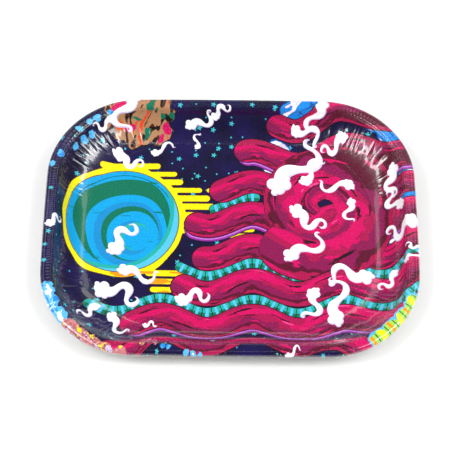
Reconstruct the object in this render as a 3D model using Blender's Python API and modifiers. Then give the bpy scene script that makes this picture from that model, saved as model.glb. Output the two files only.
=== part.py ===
"""Promotional serving tray: a pressed tinplate pan with a rolled rim, and the printed skin on its face.

The pan is one steel sheet. From the middle outwards it is a flat panel, a concave cove, a
narrow flange and a bead that is rolled under until its raw edge is hidden. The printed skin is
the ink and lacquer on the face of that sheet, from the panel out over the rim and down the
outside of the bead. Both follow one cross-section, which is walked in a vertical plane and then
carried round the tray's outline. The origin is on the ground, under the middle of the tray.
Metres, +Z up, +X along the tray's long side.
"""

import math

import bmesh
import bpy

# Outline, seen from above
LENGTH = 0.180  # over the outside of the finished rim, along X
WIDTH = 0.140  # over the outside of the finished rim, along Y
CORNER_RADIUS = 0.0434  # outside of the rim
SIDE_BOW = 0.0012  # how far the middle of each side stands out from its ends
PANEL_CORNER_RADIUS = 0.0405  # corner of the flat panel, rounder than a parallel of the rim

# Cross-section, from the rim inwards
HEIGHT = 0.0142  # ground to the top of the finished rim
RIM_WIDTH = 0.0056  # outside of the bead to the top of the cove
COVE_RUN = 0.01345  # top of the cove to the edge of the flat panel, measured level
COVE_LIP_ANGLE = math.radians(68)  # slope of the cove where it meets the shoulder
SHOULDER_RADIUS = 0.0010  # bend between the cove and the flange
FLANGE_FALL = math.radians(3)  # the flange falls this much towards the bead
BEAD_RADIUS = 0.0017  # outer bend from the flange down to the side
CURL_RADIUS = 0.0016  # the roll under the side
CURL_ANGLE = math.radians(165)  # how far the sheet rolls on after it points straight down
FOOT_RADIUS = 0.0010  # bend between the flat panel and the cove

# Sheet and skin
SHEET_THICKNESS = 0.00028
SKIN_THICKNESS = 0.00015
SKIN_GAP = 0.00030  # clearance between the skin and the sheet that it covers
SKIN_WRAP_ANGLE = math.radians(50)  # how far the skin follows the curl under the bead

# Facets
CORNER_STEPS = 12
LONG_SIDE_STEPS = 6
SHORT_SIDE_STEPS = 4
FOOT_STEPS = 2
COVE_STEPS = 6
SHOULDER_STEPS = 4
BEAD_STEPS = 4
CURL_STEP_ANGLE = math.radians(28)

# The walk below runs on the top of the sheet, which lies this far inside the finished face.
SKIN_STANDOFF = SKIN_GAP + SKIN_THICKNESS


def clear_scene():
    for obj in list(bpy.data.objects):
        bpy.data.objects.remove(obj, do_unlink=True)


def make_material(name, colour, roughness, metallic):
    material = bpy.data.materials.new(name)
    material.use_nodes = True
    shader = material.node_tree.nodes["Principled BSDF"]
    shader.inputs["Base Color"].default_value = (*colour, 1.0)
    shader.inputs["Roughness"].default_value = roughness
    shader.inputs["Metallic"].default_value = metallic
    return material


def arc(start, heading, radius, turn, steps):
    """Points after start along an arc, each (inset, height, heading).

    heading is the direction of travel, 0 outwards and a quarter turn up; a positive turn bends
    upwards. inset is measured inwards from the outside of the tray, so travel outwards lowers it.
    """
    side = math.copysign(1.0, turn)
    points = []
    for step in range(1, steps + 1):
        now = heading + turn * step / steps
        outwards = side * radius * (math.sin(now) - math.sin(heading))
        upwards = side * radius * (math.cos(heading) - math.cos(now))
        points.append((start[0] - outwards, start[1] + upwards, now))
    return points


def cove_foot_angle(run, rise):
    """Slope at the foot of a circular cove that ends at the lip angle."""
    return 2.0 * math.atan2(rise, run) - COVE_LIP_ANGLE


def walk_section(curl_angle):
    """Cross-section of the sheet's top face, from the panel's edge to the end of the curl."""
    panel_height = SHEET_THICKNESS
    flange_height = HEIGHT - SKIN_STANDOFF
    shoulder_rise = SHOULDER_RADIUS * (1.0 - math.cos(COVE_LIP_ANGLE))

    # The foot bend takes a share of the run and rise that depends on the slope it has to reach,
    # so the slope is settled by a few rounds of trial.
    foot = 0.0
    for _ in range(20):
        run = COVE_RUN - FOOT_RADIUS * math.sin(foot)
        rise = flange_height - shoulder_rise - panel_height - FOOT_RADIUS * (1.0 - math.cos(foot))
        foot = cove_foot_angle(run, rise)
    chord = math.hypot(run, rise)
    cove_radius = chord / (2.0 * math.sin((COVE_LIP_ANGLE - foot) / 2.0))

    points = [(RIM_WIDTH + COVE_RUN, panel_height, 0.0)]
    points += arc(points[-1], 0.0, FOOT_RADIUS, foot, FOOT_STEPS)
    points += arc(points[-1], foot, cove_radius, COVE_LIP_ANGLE - foot, COVE_STEPS)
    shoulder_turn = -(COVE_LIP_ANGLE + FLANGE_FALL)
    points += arc(points[-1], COVE_LIP_ANGLE, SHOULDER_RADIUS, shoulder_turn, SHOULDER_STEPS)

    bead_reach = BEAD_RADIUS * (1.0 - math.sin(FLANGE_FALL))
    flange_run = points[-1][0] - SKIN_STANDOFF - bead_reach
    bead_start = (SKIN_STANDOFF + bead_reach, points[-1][1] - flange_run * math.tan(FLANGE_FALL))
    points.append((*bead_start, -FLANGE_FALL))
    quarter = math.pi / 2.0
    points += arc(bead_start, -FLANGE_FALL, BEAD_RADIUS, FLANGE_FALL - quarter, BEAD_STEPS)
    curl_steps = max(1, round(curl_angle / CURL_STEP_ANGLE))
    points += arc(points[-1], -quarter, CURL_RADIUS, -curl_angle, curl_steps)
    return points


def stand_off(points, distance):
    """The section moved off the sheet's face by distance, as (inset, height) pairs."""
    return [
        (inset + distance * math.sin(heading), height + distance * math.cos(heading))
        for inset, height, heading in points
    ]


def corner_radius(inset):
    """Corner radius of the level outline at an inset: parallel on the rim, blended down the cove."""
    if inset <= RIM_WIDTH:
        return CORNER_RADIUS - inset
    share = (inset - RIM_WIDTH) / COVE_RUN
    top = CORNER_RADIUS - RIM_WIDTH
    return top + (PANEL_CORNER_RADIUS - top) * min(share, 1.0)


def outline(inset, height):
    """One level ring of the tray: a rounded rectangle whose sides bow outwards a little."""
    half_length = LENGTH / 2.0 - inset
    half_width = WIDTH / 2.0 - inset
    radius = min(corner_radius(inset), half_length, half_width)
    centre_x = half_length - radius
    centre_y = half_width - radius
    corners = ((1, 1, 0.0), (-1, 1, 0.5), (-1, -1, 1.0), (1, -1, 1.5))
    plan = []
    for number, (sign_x, sign_y, start) in enumerate(corners):
        for step in range(CORNER_STEPS + 1):
            angle = math.pi * (start + 0.5 * step / CORNER_STEPS)
            x = sign_x * centre_x + radius * math.cos(angle)
            y = sign_y * centre_y + radius * math.sin(angle)
            plan.append((x, y))
        # The side that follows this corner, without its end points
        along_x = number % 2 == 0
        side_steps = LONG_SIDE_STEPS if along_x else SHORT_SIDE_STEPS
        for step in range(1, side_steps):
            place = 1.0 - 2.0 * step / side_steps
            if along_x:
                plan.append((sign_x * centre_x * place, sign_y * half_width))
            else:
                plan.append((sign_x * half_length, sign_y * centre_y * place))
    ring = []
    for x, y in plan:
        part_x = x / half_length
        part_y = y / half_width
        ring.append((x - SIDE_BOW * part_x * part_y**2, y - SIDE_BOW * part_y * part_x**2, height))
    return ring


def loft(name, section):
    """An open sheet: a flat panel inside the first ring, then quads from ring to ring."""
    bm = bmesh.new()
    rings = [[bm.verts.new(point) for point in outline(*station)] for station in section]
    bm.faces.new(rings[0])
    count = len(rings[0])
    for inner, outer in zip(rings, rings[1:]):
        for here in range(count):
            ahead = (here + 1) % count
            bm.faces.new((inner[here], outer[here], outer[ahead], inner[ahead]))
    mesh = bpy.data.meshes.new(name)
    bm.to_mesh(mesh)
    bm.free()
    mesh.shade_smooth()
    mesh.set_sharp_from_angle(angle=math.radians(50))
    return mesh


def make_sheet(name, section, thickness, material, collection):
    """A closed shell whose face is the lofted section and whose thickness lies behind it."""
    mesh = loft(name, section)
    mesh.materials.append(material)
    sheet = bpy.data.objects.new(name, mesh)
    collection.objects.link(sheet)
    solidify = sheet.modifiers.new("thickness", "SOLIDIFY")
    solidify.thickness = thickness
    solidify.offset = -1.0
    solidify.use_even_offset = True
    solidify.use_quality_normals = True
    return sheet


def make_tray():
    collection = bpy.data.collections.new("promotional_serving_tray")
    bpy.context.scene.collection.children.link(collection)

    tinplate = make_material("tinplate", (0.70, 0.71, 0.72), 0.30, 1.0)
    pan = make_sheet(
        "tinplate_pan", stand_off(walk_section(CURL_ANGLE), 0.0), SHEET_THICKNESS, tinplate, collection
    )

    print_lacquer = make_material("print_lacquer", (0.035, 0.022, 0.120), 0.12, 0.0)
    face = stand_off(walk_section(SKIN_WRAP_ANGLE), SKIN_STANDOFF)
    skin = make_sheet("printed_face", face, SKIN_THICKNESS, print_lacquer, collection)
    skin.parent = pan


clear_scene()
make_tray()
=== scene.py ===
"""Looks of the promotional serving tray: the printed face in three pieces and the tinplate pan under it.

The printed face is one sheet whose ink was laid down flat, before the press drew it to shape, so
every motif is worked out on the flat blank, in millimetres, and carried by the mesh as signed
distances. The material turns those distances into crisp print edges.
"""

import math

import bpy
import numpy as np
from mathutils import Matrix, Vector


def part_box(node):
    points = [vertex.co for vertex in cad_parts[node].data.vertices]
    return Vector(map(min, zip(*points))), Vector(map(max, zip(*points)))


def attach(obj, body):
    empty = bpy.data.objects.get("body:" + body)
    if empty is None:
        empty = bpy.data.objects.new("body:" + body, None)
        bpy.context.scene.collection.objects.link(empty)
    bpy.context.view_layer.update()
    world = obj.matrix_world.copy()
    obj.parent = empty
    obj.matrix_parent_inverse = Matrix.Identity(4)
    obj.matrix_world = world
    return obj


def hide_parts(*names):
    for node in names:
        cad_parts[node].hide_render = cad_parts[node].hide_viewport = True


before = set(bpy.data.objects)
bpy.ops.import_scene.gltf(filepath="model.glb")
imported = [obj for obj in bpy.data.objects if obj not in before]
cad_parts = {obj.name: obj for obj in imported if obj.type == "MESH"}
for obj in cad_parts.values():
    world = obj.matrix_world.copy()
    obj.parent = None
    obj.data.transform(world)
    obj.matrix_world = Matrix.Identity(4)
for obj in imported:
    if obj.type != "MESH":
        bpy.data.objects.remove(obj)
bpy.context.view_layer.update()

# -------- sizes, in millimetres
MM = 0.001
face_low, face_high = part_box("printed_face")
LENGTH = (face_high[0] - face_low[0]) / MM
WIDTH = (face_high[1] - face_low[1]) / MM
HEIGHT = face_high[2] / MM

# The pressing's outline and cross-section, as the CAD has them
CORNER_RADIUS = 43.4
SIDE_BOW = 1.2
PANEL_CORNER_RADIUS = 40.5
RIM_WIDTH = 5.6
COVE_RUN = 13.45
LIP_ANGLE = math.radians(68)
SHOULDER_RADIUS = 1.0
FLANGE_FALL = math.radians(3)
BEAD_RADIUS = 1.7
CURL_RADIUS = 1.6
CURL_ANGLE = math.radians(165)
WRAP_ANGLE = math.radians(50)
FOOT_RADIUS = 1.0
SHEET = 0.28
STANDOFF = 0.45
SKIN = 0.15

# Side of the square that each piece's flat map fills, and a place on the blank that carries no print
MAP_SIZE = 216.0
UNPRINTED = 500.0

# Half sizes of the flat panel and of the block that its corners turn about
PANEL_X = LENGTH / 2 - RIM_WIDTH - COVE_RUN
PANEL_Y = WIDTH / 2 - RIM_WIDTH - COVE_RUN
CORE_X = PANEL_X - PANEL_CORNER_RADIUS
CORE_Y = PANEL_Y - PANEL_CORNER_RADIUS


# -------- cross-section
def arc(start, heading, radius, turn, steps):
    """Points (inset, height, heading) along an arc of the section; a positive turn bends up."""
    side = math.copysign(1.0, turn)
    points = []
    for step in range(1, steps + 1):
        now = heading + turn * step / steps
        outwards = side * radius * (math.sin(now) - math.sin(heading))
        upwards = side * radius * (math.cos(heading) - math.cos(now))
        points.append((start[0] - outwards, start[1] + upwards, now))
    return points


def walk_section(curl_angle, foot_steps, cove_steps, shoulder_steps, flange_steps, bead_steps, curl_steps):
    """The top of the sheet from the panel's edge outwards, and the stations of the lip and flange end."""
    flange_height = HEIGHT - STANDOFF
    shoulder_rise = SHOULDER_RADIUS * (1 - math.cos(LIP_ANGLE))
    foot = 0.0
    for _ in range(20):
        run = COVE_RUN - FOOT_RADIUS * math.sin(foot)
        rise = flange_height - shoulder_rise - SHEET - FOOT_RADIUS * (1 - math.cos(foot))
        foot = 2 * math.atan2(rise, run) - LIP_ANGLE
    cove_radius = math.hypot(run, rise) / (2 * math.sin((LIP_ANGLE - foot) / 2))
    points = [(RIM_WIDTH + COVE_RUN, SHEET, 0.0)]
    points += arc(points[-1], 0.0, FOOT_RADIUS, foot, foot_steps)
    points += arc(points[-1], foot, cove_radius, LIP_ANGLE - foot, cove_steps)
    lip = len(points) - 1
    points += arc(points[-1], LIP_ANGLE, SHOULDER_RADIUS, -(LIP_ANGLE + FLANGE_FALL), shoulder_steps)
    bead_reach = BEAD_RADIUS * (1 - math.sin(FLANGE_FALL))
    flange_run = points[-1][0] - STANDOFF - bead_reach
    for _ in range(flange_steps):
        inset, height, _heading = points[-1]
        step = flange_run / flange_steps
        points.append((inset - step, height - step * math.tan(FLANGE_FALL), -FLANGE_FALL))
    flange_end = len(points) - 1
    quarter = math.pi / 2
    points += arc(points[-1], -FLANGE_FALL, BEAD_RADIUS, FLANGE_FALL - quarter, bead_steps)
    points += arc(points[-1], -quarter, CURL_RADIUS, -curl_angle, curl_steps)
    return np.array(points), lip, flange_end


def developed(section):
    """Length along the section from the panel's edge: how far out each station lay on the blank."""
    steps = np.hypot(np.diff(section[:, 0]), np.diff(section[:, 1]))
    return np.concatenate([[0.0], np.cumsum(steps)])


# -------- outline
# Wrinkles are this strong at a corner's ends, and 1 across its middle; each quarter of the outline
# reads its own stretch of the wrinkle noise
CORNER_END_STRENGTH = 0.30
QUARTER_SHIFT = 211.0


class Columns:
    """The lines that run outwards over the tray, one after the other round its outline."""

    def __init__(self, corner_steps, long_steps, short_steps):
        places, ways, turn, along = [], [], [], []
        corners = ((1, 1, 0.0), (-1, 1, 0.5), (-1, -1, 1.0), (1, -1, 1.5))
        self.middles = []
        for number, (sign_x, sign_y, start) in enumerate(corners):
            self.middles.append(len(places) + corner_steps // 2)
            for step in range(corner_steps + 1):
                share = step / corner_steps
                angle = math.pi * (start + 0.5 * share)
                places.append((sign_x, sign_y))
                ways.append((math.cos(angle), math.sin(angle)))
                turn.append(share)
                along.append(CORNER_RADIUS * math.pi / 2 * share)
            level = number % 2 == 0
            steps = long_steps if level else short_steps
            length = 2 * (CORE_X if level else CORE_Y)
            for step in range(1, steps):
                share = step / steps
                place = 1 - 2 * share
                places.append((sign_x * place, sign_y) if level else (sign_x, sign_y * place))
                ways.append((0, sign_y) if level else (sign_x, 0))
                turn.append(-min(share, 1 - share) * length)
                along.append(CORNER_RADIUS * math.pi / 2 + share * length)
        self.places = np.array(places, float)
        self.ways = np.array(ways, float)
        self.turn = np.array(turn)
        number = np.repeat(np.arange(4), [corner_steps + long_steps, corner_steps + short_steps] * 2)
        self.run = np.array(along) + QUARTER_SHIFT * number
        # 1 across the middle of a corner, fading out just past its ends
        inside = np.clip(np.minimum(self.turn, 1 - self.turn) / 0.22, 0, 1)
        outside = CORNER_END_STRENGTH * np.exp(np.minimum(self.turn, 0) / 4.0)
        rise = (1 - CORNER_END_STRENGTH) * inside**2 * (3 - 2 * inside)
        self.corner = np.where(self.turn >= 0, CORNER_END_STRENGTH + rise, outside)
        self.count = len(places)


def corner_radius(inset):
    share = np.clip((inset - RIM_WIDTH) / COVE_RUN, 0, 1)
    blended = CORNER_RADIUS - RIM_WIDTH + (PANEL_CORNER_RADIUS - CORNER_RADIUS + RIM_WIDTH) * share
    return np.where(inset <= RIM_WIDTH, CORNER_RADIUS - inset, blended)


def bow(x, y, half_x, half_y):
    part_x, part_y = x / half_x, y / half_y
    return x - SIDE_BOW * part_x * part_y**2, y - SIDE_BOW * part_y * part_x**2


def drawn_lines(columns, section):
    """Where each line of metal runs as it is drawn: square to every outline that it crosses."""
    place = blank_of(columns, np.zeros(1))[0]
    places, ways = [], []
    for inset in section[:, 0]:
        radius = float(corner_radius(inset))
        core = np.array([LENGTH / 2 - inset - radius, WIDTH / 2 - inset - radius])
        centre = np.clip(place, -core, core)
        way = place - centre
        way /= np.linalg.norm(way, axis=1)[:, None]
        place = centre + radius * way
        places.append(place)
        ways.append(way)
    return np.array(places), np.array(ways)


def blank_of(columns, out):
    """Where the stations lay on the flat blank: (station, column, xy)."""
    reach = PANEL_CORNER_RADIUS + out[:, None]
    x = columns.places[:, 0] * CORE_X + reach * columns.ways[:, 0]
    y = columns.places[:, 1] * CORE_Y + reach * columns.ways[:, 1]
    return np.stack([x, y], -1)


# -------- draw wrinkles
def smooth(t):
    t = np.clip(t, 0, 1)
    return t * t * (3 - 2 * t)


def noise(x, y, seed):
    """Smooth value noise between -1 and 1 on a repeating lattice."""
    size = 128
    table = np.random.default_rng(seed).uniform(-1, 1, (size, size))
    x, y = np.broadcast_arrays(x, y)
    cell_x, cell_y = np.floor(x).astype(int), np.floor(y).astype(int)
    part_x, part_y = smooth(x - cell_x), smooth(y - cell_y)
    low_x, low_y = cell_x % size, cell_y % size
    high_x, high_y = (cell_x + 1) % size, (cell_y + 1) % size
    near = table[low_x, low_y] * (1 - part_x) + table[high_x, low_y] * part_x
    far = table[low_x, high_y] * (1 - part_x) + table[high_x, high_y] * part_x
    return near * (1 - part_y) + far * part_y


PLEAT_PITCH = 1.15
PLEAT_DEPTH = 0.18
FLANGE_SAG = 0.03


def wrinkles(columns, out, lip_out, end_out):
    """How far the pressed sheet stands off the true section: corner buckles and flange pleats."""
    run = columns.run[None, :]
    corner = columns.corner[None, :]
    t = (out / lip_out)[:, None]
    on_cove = smooth((t - 0.05) / 0.45) * (1 - smooth((t - 0.86) / 0.14))
    drift = 2.2 * noise(run / 9, t * 1.3, 3)
    ridges = 1 - np.abs(noise((run + drift) / 2.1, t * 0.9, 5))
    fine = 1 - np.abs(noise((run + 0.6 * drift) / 0.95, t * 1.1, 9))
    dents = noise(run / 11, t * 1.2, 17)
    waves = 0.035 * noise(run / 14, t * 2.2, 11) * np.sin(np.pi * np.clip(t, 0, 1))
    patchy = 0.55 + 0.45 * noise(run / 6, t * 2.0, 19)
    cove = on_cove * corner * (0.34 * ridges**3 + 0.10 * patchy * fine**3 + 0.15 * dents - 0.26)
    flange_share = (out - lip_out)[:, None] / (end_out - lip_out)
    on_flange = smooth(flange_share / 0.12) * (1 - smooth((flange_share - 0.82) / 0.16))
    jitter = 0.9 * noise(run / 5, 0.5, 23)
    pleat = 0.5 - 0.5 * np.cos(2 * np.pi * run / PLEAT_PITCH + jitter)
    strength = 0.55 + 0.45 * noise(run / 3, 0.5, 29)
    pleats = -PLEAT_DEPTH * on_flange * corner**0.3 * strength * pleat
    sag = -FLANGE_SAG * on_flange * (1 + noise(run / 9, 0.5, 31))
    return np.where(t <= 1.0, cove + waves, pleats + sag)


# -------- artwork on the blank, in millimetres
def spiral(centre, start, turns, far, near, thick, thin, ease, steps=700):
    """A path that winds in around a centre; start is in degrees."""
    k = np.linspace(0, 1, steps)
    angle = np.radians(start) + 2 * np.pi * turns * k
    reach = far + (near - far) * k**ease
    x = centre[0] + reach * np.cos(angle)
    y = centre[1] + reach * np.sin(angle)
    return np.stack([x, y, thick + (thin - thick) * k], 1)


def wave(start, height, half_width, swing=3.6, length=44.0, finish=112.0, steps=420):
    """A ribbon of one width that runs level in even waves, with round ends."""
    x = np.linspace(start, finish, steps)
    y = height + swing * np.sin(2 * np.pi * x / length)
    return np.stack([x, y, np.full(steps, half_width)], 1)


def tangents(line):
    way = np.gradient(line[:, :2], axis=0)
    return way / (np.linalg.norm(way, axis=1)[:, None] + 1e-9)


def beside(line, share, scale):
    """A path that runs beside another, moved sideways by a share of its half width."""
    way = tangents(line)
    out = line.copy()
    out[:, 0] -= way[:, 1] * line[:, 2] * share
    out[:, 1] += way[:, 0] * line[:, 2] * share
    out[:, 2] *= scale
    return out


# A distance past every shape, and the most point-and-station pairs that are measured at one time
FAR = 99.0
PAIRS_AT_ONCE = 4_000_000


class Blank:
    """Points of the flat blank, and the distances of the print's shapes from them."""

    def __init__(self, x, y):
        self.x, self.y = x, y

    def layer(self):
        """Distance, place across and length along, for bands that lie over each other."""
        return [np.full(len(self.x), FAR), np.zeros(len(self.x)), np.zeros(len(self.x))]

    def band(self, layer, line, covers=0.0, margin=3.0):
        sdf, cross, along = layer
        low = (line[:, :2] - line[:, 2:]).min(0) - margin
        high = (line[:, :2] + line[:, 2:]).max(0) + margin
        inside_x = (self.x > low[0]) & (self.x < high[0])
        near = np.flatnonzero(inside_x & (self.y > low[1]) & (self.y < high[1]))
        if not len(near):
            return
        lengths = np.hypot(*np.diff(line[:, :2], axis=0).T)
        run = np.concatenate([[0.0], np.cumsum(lengths)])
        way = tangents(line)
        for part in np.array_split(near, 1 + len(near) * len(line) // PAIRS_AT_ONCE):
            dx = self.x[part, None] - line[None, :, 0]
            dy = self.y[part, None] - line[None, :, 1]
            gap = np.hypot(dx, dy) - line[None, :, 2]
            k = gap.argmin(1)
            rows = np.arange(len(part))
            d = gap[rows, k]
            side = way[k, 0] * dy[rows, k] - way[k, 1] * dx[rows, k]
            wins = (d < sdf[part]) | (d < covers)
            chosen = part[wins]
            sdf[chosen] = d[wins]
            cross[chosen] = (side / line[k, 2])[wins]
            along[chosen] = run[k][wins]

    def discs(self, sdf, discs):
        for cx, cy, r in discs:
            np.minimum(sdf, np.hypot(self.x - cx, self.y - cy) - r, out=sdf)

    def drip(self, sdf, x, y, length, r):
        across = np.clip(self.x - x, 0, length)
        np.minimum(sdf, np.hypot(self.x - x - across, self.y - y) - r, out=sdf)


# The moon's middle and radius, and how far its halo reaches past it
MOON = (-53.7, 6.8)
MOON_RADIUS = 28.3
HALO = 3.0

SWIRL = spiral((45, 16), 235, 1.9, 29, 4.5, 14, 3.0, 1.15)
# Level waves: where each starts, its place from front to back and half its width
BACK_WAVES = tuple(wave(start, y, width) for start, y, width in (
    (24, 62, 6.0), (8, 44, 6.4), (-4, 26, 6.4), (-16, 8, 6.4), (-12, -10, 6.4),
))
FRONT_WAVES = tuple(wave(start, y, width) for start, y, width in (
    (-22, -29, 6.4), (-46, -48, 6.4), (-60, -67, 5.6),
))
# Puffs of cloud: place, direction of the tail in degrees, size, and which way it sways
PUFFS = (
    (-55, -8, 38, 1.5, 1), (-50, -20, 18, 1.25, -1), (-60, -32, -35, 1.7, 1), (-22, -36, -8, 1.25, 1),
    (-64, -41, 205, 0.8, 1), (-55, -46, -30, 0.95, -1), (-40, -50, -10, 0.5, 1),
    (-55, 44, -10, 1.2, -1), (-38, 46, -5, 0.8, 1), (-20, 62, 45, 1.15, -1), (-17, 50, 60, 0.6, 1),
    (-8, 66, 20, 0.9, 1), (30, -10, 60, 1.5, -1), (24, 30, 80, 2.3, -1), (34, 13, -20, 1.5, -1),
    (38, 31, 25, 1.15, 1), (58, 29, 150, 1.15, 1), (60, 18, -70, 0.9, -1), (34, 58, -50, 1.2, 1),
    (50, 68, -100, 1.35, -1), (55, 52, 190, 1.0, 1), (64, -24, 200, 1.6, -1), (40, -33, -120, 1.25, 1),
    (50, -44, 120, 1.6, -1), (78, -25, 200, 0.9, 1), (88, -22, 60, 0.7, -1), (86, 14, 120, 1.3, 1),
    (80, 33, -70, 1.3, -1), (92, 1, 170, 1.5, 1), (-92, -2, 20, 0.8, 1), (-62, 58, 200, 0.8, 1),
    (-54, 70, -70, 1.5, -1), (97, -14, 150, 0.8, 1), (28, -76, 0, 0.6, 1),
)
# Discs that make up each patch: place and radius
SKY = (
    (32, 68, 7), (42, 74, 9), (54, 72, 9), (64, 66, 8), (72, 60, 8), (80, 52, 8), (86, 44, 8),
    (90, 34, 8), (93, 24, 8), (92, 14, 8), (86, 6, 8), (79, -2, 8), (71, -8, 6), (26, 60, 5),
    (23, 48, 6), (22, 38, 6), (36, 60, 6), (48, 82, 7),
)
ROCK = (
    (-58, 66, 8), (-50, 70, 8), (-40, 72, 9), (-34, 67, 5), (-56, 57, 7), (-46, 58, 8), (-38, 58, 7),
    (-50, 53, 5), (-42, 80, 8), (-56, 78, 7),
)
PALE = (
    (-86.5, -42, 4.5), (-83.5, -47, 4.5), (-79.5, -52, 4.5), (-69, 50, 1.9), (-72, 47, 2.0),
    (-76, 43.5, 1.6), (-68, 57.5, 1.6), (-71, 55.5, 1.4), (-75.5, 52, 1.4), (-84, 40, 1.6),
    (-88.5, 35.5, 1.3), (-63, 61, 1.2), (-31, -72, 1.4), (-28.5, -72.6, 1.3), (-20, -75, 1.5),
    (-17, -75.4, 1.4), (-13.5, -75.8, 1.2),
)
CANDY = (
    (-74.5, -57, 4), (-70.5, -61, 4), (-66.5, -64.5, 4), (-62, -68, 3.6), (-55, -70.5, 2.8),
    (-44, -69, 1.6), (-36, -70, 1.2),
)
LIME = ((86, -46, 4.6), (82, -51.5, 4.6), (76.5, -56.5, 4.6), (71, -60.5, 4))
# Thin ribbed waves; the first ends short of the spiral, so only the ground shows through its middle
RIBBED_WAVES = (wave(-8, 17, 2.4, finish=12), wave(-24, -19.5, 2.4), wave(-66, -39, 2.4))


def puff_line(x, y, direction, size, hand):
    """The tail of a puff: a path that meanders, tightens and thins out into a small hook."""
    u = np.linspace(0, 1, 120)
    waves = 1.15 + 0.35 * math.sin(7.0 * size + 0.1 * direction)
    hook = 2.6 * smooth((u - 0.84) / 0.16)
    heading = np.radians(direction) + hand * (1.36 * np.sin(2 * np.pi * waves * u**1.1) + hook)
    step = 18.5 * size / len(u)
    line_x = x + np.cumsum(np.cos(heading)) * step
    line_y = y + np.cumsum(np.sin(heading)) * step
    swell = 1 + 0.22 * np.sin(2 * np.pi * 2.6 * u + hand)
    return np.stack([line_x, line_y, size * (1.35 * (1 - u) ** 0.62 * swell + 0.05)], 1)


def puff_head(x, y, direction, size):
    """The discs of a puff's round end, each at an angle and reach from where the tail starts."""
    a = math.radians(direction)
    lobes = (
        (2.3, 1.5, 1.4), (3.4, 2.1, 1.2), (-2.0, 1.7, 1.3),
        (-1.0, 1.6, 1.0), (3.0, 3.0, 0.8), (-2.9, 2.5, 0.85),
    )
    return [
        (x + size * reach * math.cos(a + t), y + size * reach * math.sin(a + t), size * r)
        for t, reach, r in lobes
    ]


def draw_halo(b):
    """The yellow halo of the moon, the drips that run off it, and the drips between the waves."""
    rng = np.random.default_rng(7)
    layer = b.layer()
    sdf = layer[0]
    cx, cy = MOON
    angle = np.arctan2(b.y - cy, b.x - cx)
    edge = MOON_RADIUS + HALO + 0.4 * np.sin(angle * 5 + 0.6) + 0.25 * np.sin(angle * 11)
    np.minimum(sdf, np.hypot(b.x - cx, b.y - cy) - edge, out=sdf)
    for y in np.arange(38, -1, -4.6):
        start = cx + math.sqrt(max(0.0, (MOON_RADIUS + HALO) ** 2 - (y - cy) ** 2))
        length = 6 + 13 * rng.random()
        b.drip(sdf, start - 12, y, length + 12, 1.15 + 0.5 * rng.random())
        if rng.random() < 0.6:
            after = start + length + 4 + 3 * rng.random()
            b.drip(sdf, after, y, 3 + 8 * rng.random(), 0.9 + 0.4 * rng.random())
    for y in np.arange(-22, -43, -4.4):
        b.drip(sdf, -40 + 4 * rng.random(), y, 18 + 12 * rng.random(), 1.1 + 0.5 * rng.random())
    for x, y, length in ((66, -12.5, 15), (60, -18, 12), (76, -18.5, 7)):
        b.drip(sdf, x, y, length, 1.1)
    for y in (-24, -28.5, -33, -37.5):
        b.drip(sdf, 52 + 8 * rng.random(), y, 9 + 12 * rng.random(), 0.9 + 0.5 * rng.random())
    for y in (2.5, -1, -5, -9):
        b.drip(sdf, -2 + 4 * rng.random(), y, 10 + 8 * rng.random(), 1.0 + 0.4 * rng.random())
    return sdf


def draw(x, y):
    """Every shape of the print, as vector attributes of three numbers a point."""
    b = Blank(x, y)
    halo = draw_halo(b)
    moon = np.hypot(x - MOON[0], y - MOON[1]) - MOON_RADIUS
    ribbed = b.layer()
    for line in RIBBED_WAVES:
        b.band(ribbed, line)
    trim_back, back = b.layer(), b.layer()
    for line in BACK_WAVES[1::2]:
        b.band(trim_back, beside(line, -0.55, 0.8))
    for line in (*BACK_WAVES, SWIRL):
        b.band(back, line, covers=0.35)
    trim_front, front = b.layer(), b.layer()
    b.band(trim_front, beside(FRONT_WAVES[1], -0.55, 0.8))
    for line in FRONT_WAVES:
        b.band(front, line, covers=0.35)
    cloud, cloud_lit = b.layer(), b.layer()
    for x0, y0, direction, size, hand in PUFFS:
        line = puff_line(x0, y0, direction, size, hand)
        head = puff_head(x0, y0, direction, size)
        b.band(cloud, line)
        b.discs(cloud[0], head)
        lit = line + np.array([-0.16 * size, 0.24 * size, -0.20 * size])
        lit[:, 2] = np.maximum(lit[:, 2], 0.02)
        b.band(cloud_lit, lit)
        lit_head = [(cx - 0.16 * size, cy + 0.24 * size, r - 0.2 * size) for cx, cy, r in head]
        b.discs(cloud_lit[0], lit_head)
    patches = {}
    for name, discs in (("sky", SKY), ("rock", ROCK), ("pale", PALE), ("candy", CANDY), ("lime", LIME)):
        patches[name] = np.full(len(x), FAR)
        b.discs(patches[name], discs)
    # Each attribute carries three numbers, so the moon's distance fills a spare place
    return {
        "art_halo": (halo, moon, moon),
        "art_cloud": (cloud[0], cloud_lit[0], patches["sky"]),
        "art_rock": (patches["rock"], ribbed[0], ribbed[1]),
        "art_back": tuple(back),
        "art_front": tuple(front),
        "art_trim": (trim_back[0], trim_front[0], ribbed[2]),
        "art_patch": (patches["pale"], patches["candy"], patches["lime"]),
    }


# -------- meshes
def add_object(name, data):
    made = bpy.data.objects.new(name, data)
    bpy.context.scene.collection.objects.link(made)
    return made


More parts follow.
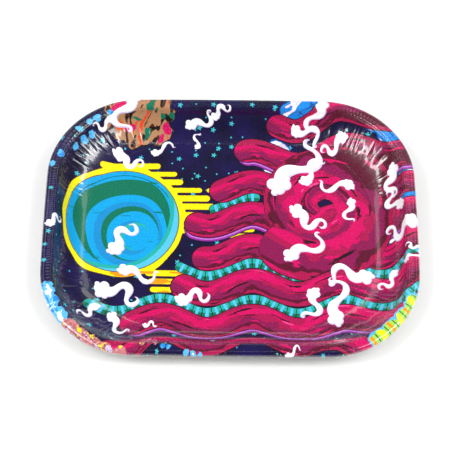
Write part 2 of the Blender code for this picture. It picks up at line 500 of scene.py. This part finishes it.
def make_mesh(name, points, quads, polygons, flat, seen, out=None):
    """A mesh object from points in millimetres.

    flat holds each point's place on the flat blank and seen says whether it is on the side that shows;
    out, the distance outside the panel, is given for a printed piece and brings the artwork with it.
    """
    mesh = bpy.data.meshes.new(name)
    mesh.vertices.add(len(points))
    mesh.vertices.foreach_set("co", (np.asarray(points) * MM).astype(np.float32).ravel())
    corner_lists = [np.asarray(quads, np.int32).ravel()] + [np.asarray(p, np.int32) for p in polygons]
    sizes = np.concatenate([np.full(len(quads), 4), [len(p) for p in polygons]]).astype(np.int32)
    corners = np.concatenate(corner_lists)
    mesh.loops.add(len(corners))
    mesh.loops.foreach_set("vertex_index", corners)
    mesh.polygons.add(len(sizes))
    starts = np.concatenate([[0], np.cumsum(sizes)[:-1]]).astype(np.int32)
    mesh.polygons.foreach_set("loop_start", starts)
    mesh.update(calc_edges=True)
    mesh.shade_smooth()
    # The side that shows is laid out flat at full size, the hidden side small in the strip above it
    face_seen = np.minimum.reduceat(seen[corners].astype(int), starts).astype(bool)
    full = (flat + MAP_SIZE / 2 * np.array([1, 0.80])) / MAP_SIZE
    small = 0.15 * full + np.array([0.02, 0.84])
    uv = np.where(np.repeat(face_seen, sizes)[:, None], full[corners], small[corners])
    mesh.uv_layers.new(name="OFBake").data.foreach_set("uv", uv.astype(np.float32).ravel())
    if out is not None:
        x = np.where(seen, flat[:, 0], 0.0)
        y = np.where(seen, flat[:, 1], UNPRINTED)
        values = {"blank": (x, y, out)}
        values.update(draw(x, y))
        for attribute, channels in values.items():
            layer = mesh.attributes.new(attribute, "FLOAT_VECTOR", "POINT")
            layer.data.foreach_set("vector", np.stack(channels, 1).astype(np.float32).ravel())
    return add_object(name, mesh)


def ring_quads(first, second, count):
    here = np.arange(count)
    ahead = (here + 1) % count
    return np.stack([first + here, second + here, second + ahead, first + ahead], 1)


def band_piece(name, top, bottom, flat_top, flat_bottom, seen_top=True, out=None, floor=False):
    """A closed body between two stacks of rings; floor fills the middle inside the first rings."""
    stations, count = top.shape[:2]
    below = bottom.shape[0]
    points = np.concatenate([top.reshape(-1, 3), bottom.reshape(-1, 3)])
    flat = np.concatenate([flat_top.reshape(-1, 2), flat_bottom.reshape(-1, 2)])
    base = stations * count
    seen = (np.arange(len(points)) < base) == seen_top
    quads = [ring_quads(k * count, (k + 1) * count, count) for k in range(stations - 1)]
    quads += [ring_quads(base + (k + 1) * count, base + k * count, count) for k in range(below - 1)]
    quads.append(ring_quads((stations - 1) * count, base + (below - 1) * count, count))
    polygons = []
    if floor:
        polygons.append(np.arange(count))
        polygons.append(base + np.arange(count)[::-1])
    else:
        quads.append(ring_quads(base, 0, count))
    if out is not None:
        out = np.concatenate([np.repeat(out, count), np.zeros(below * count)])
    return make_mesh(name, points, np.concatenate(quads), polygons, flat, seen, out)


def stack(columns, section, distance, stations, lift):
    """Rings at a distance off the section, following the pressed-in wrinkles."""
    places, ways = (values[stations] for values in drawn_lines(columns, section))
    section = section[stations]
    off = distance + lift[stations]
    outwards = -off * np.sin(section[:, None, 2])
    height = section[:, None, 1] + off * np.cos(section[:, None, 2])
    half_x, half_y = LENGTH / 2 - section[:, None, 0], WIDTH / 2 - section[:, None, 0]
    flat = places + ways * outwards[..., None]
    x, y = bow(flat[..., 0], flat[..., 1], half_x, half_y)
    return np.stack([x, y, height], -1)


FINE = Columns(260, 300, 130)
section, lip, flange_end = walk_section(WRAP_ANGLE, 4, 24, 8, 8, 8, 4)
out = developed(section)
lift = wrinkles(FINE, out, out[lip], out[flange_end])


def printed_band(name, stations, under):
    """A ring of the printed face, with fewer stations on its hidden side."""
    return band_piece(
        name,
        stack(FINE, section, STANDOFF, stations, lift),
        stack(FINE, section, STANDOFF - SKIN, under, lift),
        blank_of(FINE, out[stations]),
        blank_of(FINE, out[under]),
        out=out[stations],
    )


cove_stations = np.arange(lip + 1)
rim_stations = np.arange(lip, len(section))
printed_cove = printed_band("printed_cove", cove_stations, cove_stations[::4])
printed_rim = printed_band("printed_rim", rim_stations, rim_stations[::2])


# How far the panel's middle sinks below its edge
PANEL_DIP = 0.06


def make_panel(name, columns):
    """The flat panel: a grid stretched between the four stretches of its outline."""
    outline = blank_of(columns, np.zeros(1))[0]
    first, second, third, fourth = columns.middles
    count = columns.count

    def stretch(start, end):
        if end < start:
            end += count
        return outline[np.arange(start, end + 1, 2) % count]

    back = stretch(first, second)[::-1]
    left = stretch(second, third)[::-1]
    front = stretch(third, fourth)
    right = stretch(fourth, first)
    s = np.linspace(0, 1, len(front))[:, None, None]
    t = np.linspace(0, 1, len(left))[None, :, None]
    sides = (1 - t) * front[:, None] + t * back[:, None] + (1 - s) * left[None] + s * right[None]
    twist = (
        (1 - s) * (1 - t) * front[0] + s * (1 - t) * front[-1]
        + (1 - s) * t * back[0] + s * t * back[-1]
    )
    blank = sides - twist
    nx, ny = blank.shape[:2]
    x, y = bow(blank[..., 0], blank[..., 1], PANEL_X, PANEL_Y)
    edge = np.minimum(np.minimum(s, 1 - s), np.minimum(t, 1 - t))[..., 0]
    broad_sway = noise(blank[..., 0] / 24, blank[..., 1] / 24, 41)
    sway = broad_sway + 0.4 * noise(blank[..., 0] / 9, blank[..., 1] / 9, 43)
    top_height = SHEET + STANDOFF
    height = top_height - PANEL_DIP * smooth(edge / 0.10) * (1.4 + sway) / 2.4
    points = np.stack([x, y, height], -1).reshape(-1, 3)
    index = np.arange(nx * ny).reshape(nx, ny)
    quads = np.stack([index[:-1, :-1], index[1:, :-1], index[1:, 1:], index[:-1, 1:]], -1).reshape(-1, 4)
    loop = np.concatenate([index[:-1, 0], index[-1, :-1], index[:0:-1, -1], index[0, :0:-1]])
    under = points[loop] - np.array([0, 0, SKIN])
    low = len(points) + np.arange(len(loop))
    ahead = np.roll(np.arange(len(loop)), -1)
    walls = np.stack([loop, low, low[ahead], loop[ahead]], 1)
    blank = blank.reshape(-1, 2)
    flat = np.concatenate([blank, blank[loop]])
    seen = np.arange(len(flat)) < len(blank)
    points = np.concatenate([points, under])
    quads = np.concatenate([quads, walls])
    return make_mesh(name, points, quads, [low[::-1]], flat, seen, np.zeros(len(flat)))


printed_panel = make_panel("printed_panel", FINE)

COARSE = Columns(170, 80, 46)
pan_section, pan_lip, pan_flange_end = walk_section(CURL_ANGLE, 3, 14, 5, 3, 6, 11)
pan_out = developed(pan_section)
pan_lift = wrinkles(COARSE, pan_out, pan_out[pan_lip], pan_out[pan_flange_end])
all_stations = np.arange(len(pan_section))
tinplate = band_piece(
    "tinplate_sheet",
    stack(COARSE, pan_section, 0.0, all_stations, pan_lift),
    stack(COARSE, pan_section, -SHEET, all_stations, pan_lift),
    blank_of(COARSE, pan_out),
    blank_of(COARSE, pan_out),
    seen_top=False,
    floor=True,
)


# -------- materials
def linear(red, green, blue):
    """A colour given as 0-255 screen values, made linear."""
    values = []
    for value in (red, green, blue):
        v = value / 255
        values.append(v / 12.92 if v <= 0.04045 else ((v + 0.055) / 1.055) ** 2.4)
    return (*values, 1.0)


NAVY = linear(22, 11, 74)
NAVY_DEEP = linear(10, 6, 42)
STAR = linear(60, 190, 205)
YELLOW = linear(240, 236, 0)
ORANGE = linear(250, 150, 10)
RUST = linear(110, 36, 22)
CYAN = linear(0, 160, 222)
CYAN_PALE = linear(84, 190, 230)
AZURE_SOFT = linear(16, 138, 202)
TEAL = linear(0, 112, 84)
TEAL_DARK = linear(4, 84, 62)
AQUA = linear(30, 170, 160)
INK = linear(34, 4, 22)
CRIMSON = linear(168, 14, 76)
HOT = linear(206, 0, 94)
HOT_PALE = linear(228, 70, 138)
PLUM = linear(134, 16, 78)
MAROON = linear(90, 10, 42)
PURPLE = linear(142, 44, 156)
PURPLE_PALE = linear(200, 118, 208)
LILAC = linear(214, 202, 234)
WHITE = linear(252, 252, 253)
AZURE = linear(0, 134, 226)
AZURE_DARK = linear(2, 74, 150)
TAN = linear(178, 130, 92)
BROWN = linear(72, 40, 24)
BLACK = linear(12, 8, 10)
RED = linear(226, 70, 30)
LIME_GREEN = linear(152, 220, 84)
ROSE = linear(206, 124, 126)
PALE_BLUE = linear(84, 182, 240)
CHIPPED = linear(168, 166, 162)
TINPLATE = linear(214, 214, 212)
ROLLED_GREY = linear(176, 177, 178)
WARM_STAIN = linear(196, 188, 168)
TARNISH = linear(120, 112, 100)


BUMP_DISTANCE = 0.0002
# Leaves the third number of the blank, the distance outside the panel, out of a noise
FLAT = (1, 1, 0)


def set_inputs(node, values):
    for name, value in values.items():
        node.inputs[name].default_value = value


class Inks:
    """Builds a printed colour up in a node tree, one layer of ink over the other."""

    def __init__(self, tree, ground):
        self.tree = tree
        self.colour = None
        self.ground = ground
        self.attributes = {}

    def node(self, kind, **settings):
        made = self.tree.nodes.new(kind)
        for key, value in settings.items():
            setattr(made, key, value)
        return made

    def feed(self, socket, value):
        if isinstance(value, bpy.types.NodeSocket):
            self.tree.links.new(value, socket)
        else:
            socket.default_value = value

    def vector(self, name):
        if name not in self.attributes:
            source = self.node("ShaderNodeAttribute", attribute_name=name)
            split = self.node("ShaderNodeSeparateXYZ")
            self.feed(split.inputs[0], source.outputs["Vector"])
            self.attributes[name] = (source.outputs["Vector"], *split.outputs)
        return self.attributes[name]

    def part(self, name, channel):
        return self.vector(name)[1 + channel]

    def math(self, operation, first, second=0.0, third=0.0):
        made = self.node("ShaderNodeMath", operation=operation)
        for socket, value in zip(made.inputs, (first, second, third)):
            self.feed(socket, value)
        return made.outputs[0]

    def mask(self, distance, edge=0.0, soft=0.05):
        """1 where distance is under edge."""
        made = self.node("ShaderNodeMapRange")
        self.feed(made.inputs["Value"], distance)
        set_inputs(made, {"From Min": edge + soft, "From Max": edge - soft})
        return made.outputs["Result"]

    def over(self, distance, edge=0.0, soft=0.05):
        """1 where distance is over edge."""
        return self.mask(self.math("MULTIPLY", distance, -1.0), -edge, soft)

    def gap(self, value, middle):
        """How far a value is from another, either way."""
        return self.math("ABSOLUTE", self.math("SUBTRACT", value, middle))

    def swing(self, noise, reach):
        """A 0-1 noise made to run from minus reach to reach."""
        return self.math("MULTIPLY_ADD", noise, 2 * reach, -reach)

    def bump(self, height, strength):
        made = self.node("ShaderNodeBump")
        set_inputs(made, {"Strength": strength, "Distance": BUMP_DISTANCE})
        self.feed(made.inputs["Height"], height)
        return made.outputs[0]

    def both(self, *masks):
        result = masks[0]
        for other in masks[1:]:
            result = self.math("MULTIPLY", result, other)
        return result

    def noise(
        self, scale, stretch=(1, 1, 1), detail=2.0, roughness=0.5,
        distortion=0.0, vector=None, offset=(0, 0, 0),
    ):
        place = self.node("ShaderNodeMapping")
        self.feed(place.inputs["Vector"], vector or self.vector("blank")[0])
        set_inputs(place, {"Scale": stretch, "Location": offset})
        made = self.node("ShaderNodeTexNoise")
        self.feed(made.inputs["Vector"], place.outputs[0])
        set_inputs(made, {
            "Scale": scale, "Detail": detail, "Roughness": roughness, "Distortion": distortion,
        })
        return made.outputs["Fac"]

    def blend(self, first, second, share):
        made = self.node("ShaderNodeMix", data_type="RGBA")
        self.feed(made.inputs[0], share)
        self.feed(made.inputs[6], first)
        self.feed(made.inputs[7], second)
        return made.outputs[2]

    def paint(self, colour, *masks):
        """A layer of ink where every mask is 1."""
        under = self.ground if self.colour is None else self.colour
        self.colour = self.blend(under, colour, self.both(*masks))

    def distance_to(self, x, y):
        away = self.node("ShaderNodeVectorMath", operation="DISTANCE")
        flat = self.node("ShaderNodeCombineXYZ")
        self.feed(flat.inputs[0], self.part("blank", 0))
        self.feed(flat.inputs[1], self.part("blank", 1))
        self.feed(away.inputs[0], flat.outputs[0])
        away.inputs[1].default_value = (x, y, 0)
        return away.outputs["Value"]


def paint_stars(inks):
    """Small five-pointed stars and dots, one to a cell of a sparse lattice."""
    for scale, size, points, keep, shift in ((0.105, 0.95, 5, 0.50, 0.0), (0.17, 0.42, 0, 0.42, 37.0)):
        place = inks.node("ShaderNodeMapping")
        inks.feed(place.inputs["Vector"], inks.vector("blank")[0])
        set_inputs(place, {"Scale": (1, 1, 0), "Location": (shift, shift, 0)})
        cells = inks.node("ShaderNodeTexVoronoi", voronoi_dimensions="2D")
        set_inputs(cells, {"Scale": scale, "Randomness": 0.7})
        inks.feed(cells.inputs["Vector"], place.outputs[0])
        split = inks.node("ShaderNodeSeparateColor")
        inks.feed(split.inputs[0], cells.outputs["Color"])
        kept = inks.math("LESS_THAN", split.outputs[0], keep)
        reach = inks.math("DIVIDE", cells.outputs["Distance"], scale)
        if points:
            away = inks.node("ShaderNodeVectorMath", operation="SUBTRACT")
            inks.feed(away.inputs[0], place.outputs[0])
            inks.feed(away.inputs[1], cells.outputs["Position"])
            axes = inks.node("ShaderNodeSeparateXYZ")
            inks.feed(axes.inputs[0], away.outputs[0])
            angle = inks.math("ARCTAN2", axes.outputs[1], axes.outputs[0])
            petal = inks.math("COSINE", inks.math("MULTIPLY", angle, points))
            edge = inks.math("MULTIPLY_ADD", petal, 0.42 * size, size)
            reach = inks.math("SUBTRACT", reach, edge)
            shape = inks.mask(reach, 0.0, 0.10)
        else:
            shape = inks.mask(reach, size, 0.08)
        inks.paint(STAR, shape, kept)


def paint_band(inks, name):
    """A magenta band: dark line round it, flat areas of light and shade, and brush strokes along it."""
    sdf, across, along = (inks.part(name, k) for k in range(3))
    inks.paint(INK, inks.mask(sdf, 0.46))
    inks.paint(CRIMSON, inks.mask(sdf, 0.0))
    inside = inks.mask(sdf, -0.10)

    def flow(run_scale, across_scale, detail, offset):
        place = inks.node("ShaderNodeCombineXYZ")
        inks.feed(place.inputs[0], inks.math("MULTIPLY", along, run_scale))
        inks.feed(place.inputs[1], inks.math("MULTIPLY", across, across_scale))
        return inks.noise(1.0, detail=detail, vector=place.outputs[0], offset=offset)

    place = inks.math("ADD", across, inks.swing(flow(0.075, 0.7, 2.0, (3, 7, 0)), 1.0))
    shade = inks.math("ADD", across, inks.swing(flow(0.10, 0.9, 2.0, (23, 5, 0)), 0.7))
    # Painted shade: the bands are darker towards the back right corner, standing in for the dim light in
    # that corner cove, partly also a darker print there
    corner_shade = inks.mask(inks.distance_to(74, 46), 24.0, 9.0)
    place = inks.math("MULTIPLY_ADD", corner_shade, -0.9, place)
    dark = inks.math("MULTIPLY_ADD", corner_shade, -0.75, shade)
    inks.paint(HOT, inside, inks.over(place, 0.20, 0.02), inks.mask(place, 0.78, 0.02))
    inks.paint(PLUM, inside, inks.mask(dark, -0.04, 0.02))
    inks.paint(MAROON, inside, inks.mask(dark, -0.56, 0.02))
    inks.paint(CRIMSON, inside, inks.mask(shade, -0.84, 0.02))
    stroke = flow(0.060, 4.2, 1.5, (11, 2, 0))
    inks.paint(MAROON, inside, inks.over(stroke, 0.63, 0.006))
    inks.paint(INK, inside, inks.over(stroke, 0.675, 0.006))
    glint = flow(0.070, 3.0, 1.0, (41, 8, 0))
    inks.paint(HOT, inside, inks.mask(glint, 0.345, 0.006))
    pale_glint = inks.mask(glint, 0.305, 0.006)
    inks.paint(HOT_PALE, inside, inks.over(place, 0.25, 0.02), pale_glint)


def paint_trim(inks, sdf):
    """The thin purple band along one side of a wave."""
    inks.paint(INK, inks.mask(sdf, 0.35))
    inks.paint(PURPLE, inks.mask(sdf, 0.0))
    inks.paint(PURPLE_PALE, inks.mask(sdf, -0.9), inks.over(sdf, -1.5))


def paint_moon(inks):
    """The moon: flat rings of blue and green whose centres drift, with thin contour lines."""
    halo, moon = (inks.part("art_halo", k) for k in range(2))
    inks.paint(RUST, inks.mask(halo, 0.30))
    inks.paint(YELLOW, inks.mask(halo, 0.0))
    front_side = inks.mask(inks.part("blank", 1), -21.0, 0.2)
    left_side = inks.mask(inks.part("blank", 0), 40.0, 0.2)
    blots = inks.noise(0.16, stretch=(0.5, 1.6, 0), detail=1.0, offset=(5, 1, 0))
    warm = inks.over(blots, 0.50, 0.01)
    inks.paint(ORANGE, inks.mask(halo, -0.15), front_side, left_side, warm)
    inks.paint(RUST, inks.mask(moon, 0.40))
    inks.paint(CYAN, inks.mask(moon, 0.0))
    inside = inks.mask(moon, -0.2)
    sway = inks.noise(0.035, stretch=FLAT, detail=0.0, offset=(2, 9, 0))
    warp = inks.swing(sway, 2.5)
    cx, cy = MOON
    rings = (
        (0.8, -0.6, 24.6, TEAL), (3.0, -5.8, 20.8, CYAN), (3.8, -6.8, 17.8, AZURE_SOFT),
        (4.8, -6.4, 15.0, TEAL), (6.2, -7.6, 13.4, CYAN), (5.6, -8.8, 9.4, AZURE_SOFT),
        (7.6, -8.2, 7.8, AQUA), (8.6, -9.0, 6.9, CYAN),
    )
    for dx, dy, radius, colour in rings:
        reach = inks.math("ADD", inks.distance_to(cx + dx, cy + dy), warp)
        inks.paint(colour, inside, inks.mask(reach, radius, 0.06))
    far_side = inks.math("ADD", inks.distance_to(cx - 4.0, cy + 4.0), inks.math("MULTIPLY", warp, 0.5))
    inks.paint(AQUA, inside, inks.over(far_side, 28.6))
    inks.paint(CYAN_PALE, inside, inks.over(far_side, 30.6))
    contour = inks.gap(inks.distance_to(cx + 0.6, cy - 0.4), 26.2)
    back_side = inks.over(inks.part("blank", 1), 20.0, 0.5)
    inks.paint(TEAL_DARK, inks.mask(contour, 0.20), back_side, inside)
    strokes = inks.noise(0.30, stretch=(0.25, 2.2, 0), detail=1.0, offset=(8, 3, 0))
    inks.paint(TEAL, inside, inks.mask(strokes, 0.30, 0.01))


def paint_sky(inks):
    """The blue patch at the back right, with paler billows."""
    sky = inks.part("art_cloud", 2)
    ragged = inks.swing(inks.noise(0.14, stretch=FLAT, detail=2.0), 2.5)
    edge = inks.math("ADD", sky, ragged)
    inks.paint(AZURE_DARK, inks.mask(edge, 0.5))
    inks.paint(AZURE, inks.mask(edge, 0.0))
    inside = inks.mask(edge, -0.2)
    swirl = inks.noise(0.050, stretch=(1, 1.2, 0), detail=2.0, distortion=1.3, offset=(4, 0, 0))
    contour = inks.gap(swirl, 0.41)
    inks.paint(AZURE_DARK, inside, inks.mask(contour, 0.008, 0.004))
    inks.paint(AZURE_DARK, inside, inks.over(swirl, 0.500, 0.006))
    inks.paint(LILAC, inside, inks.over(swirl, 0.512, 0.006))
    inks.paint(WHITE, inside, inks.over(swirl, 0.535, 0.006))
    inks.paint(LILAC, inside, inks.over(swirl, 0.635, 0.006))


def paint_rock(inks):
    """The tan patch at the back left, with dark and red grain."""
    ragged = inks.swing(inks.noise(0.20, stretch=FLAT, detail=2.0, offset=(7, 7, 0)), 2.2)
    rock = inks.math("ADD", inks.part("art_rock", 0), ragged)
    inks.paint(BLACK, inks.mask(rock, 0.45))
    inks.paint(TAN, inks.mask(rock, 0.0))
    inside = inks.mask(rock, -0.1)
    grain = inks.noise(0.10, stretch=(1.9, 0.8, 0), detail=2.0, distortion=1.2, offset=(0, 6, 0))
    inks.paint(BROWN, inside, inks.mask(grain, 0.45, 0.008))
    inks.paint(BLACK, inside, inks.mask(grain, 0.405, 0.008))
    inks.paint(RED, inside, inks.over(grain, 0.60, 0.008))
    blots = inks.noise(0.12, stretch=FLAT, detail=1.0, offset=(31, 12, 0))
    inks.paint(TEAL, inside, inks.over(blots, 0.62, 0.006))
    inks.paint(HOT, inside, inks.mask(blots, 0.36, 0.006))


def paint_ribbed(inks):
    """Ribbed teal waves behind the magenta ones."""
    sdf, across = inks.part("art_rock", 1), inks.part("art_rock", 2)
    along = inks.part("art_trim", 2)
    inks.paint(INK, inks.mask(sdf, 0.35))
    inks.paint(AQUA, inks.mask(sdf, 0.0))
    inside = inks.mask(sdf, -0.1)
    inks.paint(TEAL, inside, inks.mask(across, -0.1, 0.03))
    ribs = inks.math("PINGPONG", inks.math("ADD", along, 1.4), 2.4)
    inks.paint(CYAN_PALE, inside, inks.over(ribs, 1.7, 0.05))
    inks.paint(INK, inside, inks.mask(ribs, 0.22, 0.05))


def paint_patches(inks):
    """Abstract colour patches that run out over the front corners, and pale blue spots on the rim."""
    ragged = inks.swing(inks.noise(0.35, stretch=FLAT, detail=1.0, offset=(3, 17, 0)), 1.5)
    pale, candy, lime = (inks.math("ADD", inks.part("art_patch", k), ragged) for k in range(3))
    swirl = inks.noise(0.16, stretch=FLAT, detail=2.0, distortion=2.0, offset=(14, 3, 0))
    inks.paint(PALE_BLUE, inks.mask(pale, 0.0))
    inks.paint(WHITE, inks.mask(pale, -1.4), inks.over(swirl, 0.53, 0.01))
    inks.paint(AZURE, inks.mask(pale, -0.1), inks.mask(swirl, 0.42, 0.01))
    left_side = inks.mask(inks.part("blank", 0), 0.0, 1.0)
    inside = inks.mask(candy, -0.1)
    inks.paint(ORANGE, inks.mask(candy, 0.0))
    inks.paint(YELLOW, inside, inks.mask(swirl, 0.50, 0.01))
    inks.paint(ROSE, inks.mask(candy, 0.0), left_side)
    inks.paint(LILAC, inside, left_side, inks.over(swirl, 0.58, 0.01))
    inks.paint(YELLOW, inside, left_side, inks.mask(swirl, 0.37, 0.01))
    grain = inks.noise(0.42, stretch=FLAT, detail=1.0, distortion=1.5, offset=(4, 23, 0))
    vein = inks.gap(grain, 0.5)
    inks.paint(MAROON, inside, left_side, inks.mask(vein, 0.022, 0.008))
    inks.paint(PALE_BLUE, inks.mask(lime, 0.8))
    inks.paint(LIME_GREEN, inks.mask(lime, 0.0))
    across = inks.math("ADD", inks.part("blank", 0), inks.part("blank", 1))
    slant = inks.math("PINGPONG", inks.math("MULTIPLY", across, 0.48), 3.2)
    on_lime = inks.mask(lime, -0.1)
    inks.paint(YELLOW, on_lime, inks.mask(slant, 0.9, 0.1))
    inks.paint(ORANGE, on_lime, inks.over(slant, 2.7, 0.1))
    inks.paint(BLACK, on_lime, inks.mask(inks.gap(slant, 1.7), 0.14, 0.05))


def scratches_at(inks, angle, pitch):
    """Hairline handling scratches, 1 on a scratch and 0 off it."""
    turn = inks.node("ShaderNodeMapping")
    turn.inputs["Rotation"].default_value = (0, 0, math.radians(angle))
    inks.feed(turn.inputs["Vector"], inks.vector("blank")[0])
    hair = inks.noise(1.0, stretch=(pitch, 5.0, 0), detail=2.0, vector=turn.outputs[0])
    return inks.over(hair, 0.72, 0.01)


def new_material(name):
    material = bpy.data.materials.new(name)
    material.use_nodes = True
    return material, material.node_tree, material.node_tree.nodes["Principled BSDF"]


def lacquered_print():
    """Inks over a dark blue ground, under a clear gloss lacquer."""
    material, tree, shader = new_material("lacquered_print")
    inks = Inks(tree, NAVY)
    mottle = inks.noise(0.05, stretch=FLAT, detail=3.0)
    inks.paint(NAVY_DEEP, inks.mask(mottle, 0.50, 0.12))
    paint_stars(inks)
    paint_sky(inks)
    paint_rock(inks)
    paint_moon(inks)
    paint_ribbed(inks)
    paint_trim(inks, inks.part("art_trim", 0))
    paint_band(inks, "art_back")
    paint_trim(inks, inks.part("art_trim", 1))
    paint_band(inks, "art_front")
    paint_patches(inks)
    inks.paint(LILAC, inks.mask(inks.part("art_cloud", 0), 0.0))
    inks.paint(WHITE, inks.mask(inks.part("art_cloud", 1), 0.0))
    # Pinhead chips through to the tinplate, only on the crown of the rolled edge
    out_line = inks.part("blank", 2)
    crown = inks.both(inks.over(out_line, 23.2, 0.3), inks.mask(out_line, 25.6, 0.3))
    chips = inks.over(inks.noise(0.9, detail=3.0, offset=(9, 9, 0)), 0.70, 0.01)
    inks.paint(CHIPPED, crown, chips)
    # Ink density varies a little, coarsely and as fine press grain
    grain = inks.noise(9.0, detail=1.0)
    density = inks.noise(0.12, detail=2.0)
    hue = inks.node("ShaderNodeHueSaturation")
    inks.feed(hue.inputs["Color"], inks.colour)
    spread = inks.math("MULTIPLY_ADD", grain, 0.06, 0.97)
    coarse = inks.math("MULTIPLY_ADD", density, 0.12, 0.94)
    inks.feed(hue.inputs["Value"], inks.math("MULTIPLY", spread, coarse))
    inks.feed(shader.inputs["Base Color"], hue.outputs[0])
    haze = inks.noise(0.8, detail=3.0)
    scratches = inks.math("ADD", scratches_at(inks, 31, 0.08), scratches_at(inks, -52, 0.10))
    dull = inks.math("MULTIPLY_ADD", haze, 0.14, 0.20)
    inks.feed(shader.inputs["Roughness"], inks.math("MULTIPLY_ADD", scratches, 0.25, dull))
    peel = inks.math("SUBTRACT", inks.noise(1.6, detail=2.0), inks.math("MULTIPLY", scratches, 0.5))
    inks.feed(shader.inputs["Normal"], inks.bump(peel, 0.06))
    set_inputs(shader, {
        "Specular IOR Level": 0.45, "Coat Weight": 1.0, "Coat Roughness": 0.035, "Coat IOR": 1.5,
    })
    return material


def bare_tinplate():
    """Bright tin with faint rolling lines and light tarnish."""
    material, tree, shader = new_material("bare_tinplate")
    inks = Inks(tree, TINPLATE)
    coordinates = inks.node("ShaderNodeTexCoord").outputs["Object"]
    rolled = inks.noise(160.0, stretch=(0.06, 4.0, 1), detail=4.0, vector=coordinates)
    cloudy = inks.noise(28.0, detail=3.0, vector=coordinates)
    tarnish = inks.noise(70.0, detail=5.0, roughness=0.65, vector=coordinates)
    inks.paint(ROLLED_GREY, inks.mask(rolled, 0.5, 0.16))
    inks.paint(WARM_STAIN, inks.math("MULTIPLY", inks.mask(cloudy, 0.47, 0.10), 0.35))
    inks.paint(TARNISH, inks.math("MULTIPLY", inks.mask(tarnish, 0.36, 0.05), 0.5))
    inks.feed(shader.inputs["Base Color"], inks.colour)
    spread = inks.math("MULTIPLY_ADD", rolled, 0.20, 0.16)
    inks.feed(shader.inputs["Roughness"], inks.math("ADD", spread, inks.math("MULTIPLY", cloudy, 0.12)))
    inks.feed(shader.inputs["Normal"], inks.bump(rolled, 0.10))
    set_inputs(shader, {"Metallic": 1.0, "Coat Weight": 0.35, "Coat Roughness": 0.12})
    return material


print_material = lacquered_print()
for piece in (printed_panel, printed_cove, printed_rim):
    piece.data.materials.append(print_material)
    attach(piece, "root")
    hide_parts("printed_face")

tinplate.data.materials.append(bare_tinplate())
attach(tinplate, "root")
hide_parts("tinplate_pan")


# -------- stage, light and camera
def make_floor():
    """A wide sheet of white paper just under the tray."""
    mesh = bpy.data.meshes.new("floor")
    half, low = 2.5, -0.0001
    corners = [(-half, -half, low), (half, -half, low), (half, half, low), (-half, half, low)]
    mesh.from_pydata(corners, [], [(0, 1, 2, 3)])
    floor = add_object("floor", mesh)
    material, _tree, shader = new_material("white_paper")
    set_inputs(shader, {"Base Color": (0.94, 0.94, 0.935, 1), "Roughness": 0.9})
    mesh.materials.append(material)


def make_light(name, azimuth, elevation, distance, size, power, mirrored=True):
    """A softbox that faces the tray; azimuth 0 is the front side, 90 the right."""
    data = bpy.data.lights.new(name, "AREA")
    data.shape = "RECTANGLE"
    data.size, data.size_y = size
    data.energy = power
    light = add_object(name, data)
    a, e = math.radians(azimuth), math.radians(elevation)
    place = np.array([math.sin(a) * math.cos(e), -math.cos(a) * math.cos(e), math.sin(e)]) * distance
    light.location = place
    light.visible_glossy = mirrored
    light.rotation_euler = Vector(-place).to_track_quat("-Z", "Y").to_euler()


make_floor()
make_light("softbox_left", -80, 54, 1.1, (1.00, 0.15), 5.0)
make_light("softbox_right", 80, 54, 1.1, (1.00, 0.15), 5.0)
make_light("strip_left", -76, 45, 1.1, (0.08, 0.80), 3.4)
make_light("strip_right", 76, 45, 1.1, (0.08, 0.80), 3.4)
make_light("softbox_back", 180, 13, 1.3, (1.60, 0.12), 0.8)
make_light("strip_back_left", -142, 50, 1.2, (0.45, 0.30), 0.7)
make_light("strip_back_right", 142, 50, 1.2, (0.45, 0.30), 0.7)
make_light("strip_overhead", 0, 86, 1.2, (1.40, 0.05), 0.7)
make_light("strip_back", 180, 42, 1.2, (1.10, 0.10), 1.0)
make_light("fill_overhead", 0, 84, 1.3, (1.4, 1.4), 3.2, mirrored=False)
make_light("fill_front", 0, 30, 1.4, (1.8, 0.5), 3.3, mirrored=False)


def make_world():
    """A pale room: light near the horizon, dim overhead."""
    world = bpy.data.worlds.new("studio")
    bpy.context.scene.world = world
    world.use_nodes = True
    nodes, links = world.node_tree.nodes, world.node_tree.links
    way = nodes.new("ShaderNodeSeparateXYZ")
    links.new(nodes.new("ShaderNodeTexCoord").outputs["Generated"], way.inputs[0])
    fade = nodes.new("ShaderNodeMapRange")
    fade.interpolation_type = "SMOOTHSTEP"
    set_inputs(fade, {"From Min": 0.05, "From Max": 0.55, "To Min": 0.14, "To Max": 0.08})
    links.new(way.outputs[2], fade.inputs["Value"])
    links.new(fade.outputs[0], nodes["Background"].inputs["Strength"])
    nodes["Background"].inputs["Color"].default_value = (1, 1, 1, 1)


make_world()
bpy.context.scene.view_settings.view_transform = "Standard"


def make_camera(azimuth, elevation, roll, distance, target, lens):
    """A camera that faces target; angles in degrees, lengths in metres, lens in millimetres."""
    a, e, r = (math.radians(v) for v in (azimuth, elevation, roll))
    away = Vector((math.sin(a) * math.cos(e), -math.cos(a) * math.cos(e), math.sin(e)))
    right = Vector((0, 0, 1)).cross(away).normalized()
    up = away.cross(right)
    x_axis = right * math.cos(r) + up * math.sin(r)
    y_axis = up * math.cos(r) - right * math.sin(r)
    data = bpy.data.cameras.new("camera")
    data.lens = lens
    data.sensor_width = 36.0
    data.clip_start = 0.01
    camera = add_object("camera", data)
    rotation = Matrix((x_axis, y_axis, away)).transposed().to_4x4()
    camera.matrix_world = Matrix.Translation(Vector(target) + away * distance) @ rotation
    bpy.context.scene.camera = camera


make_camera(-0.22, 61.6, 0.81, 0.751, (-0.0002, 0.0021, (SHEET + STANDOFF) * MM), 120.5)
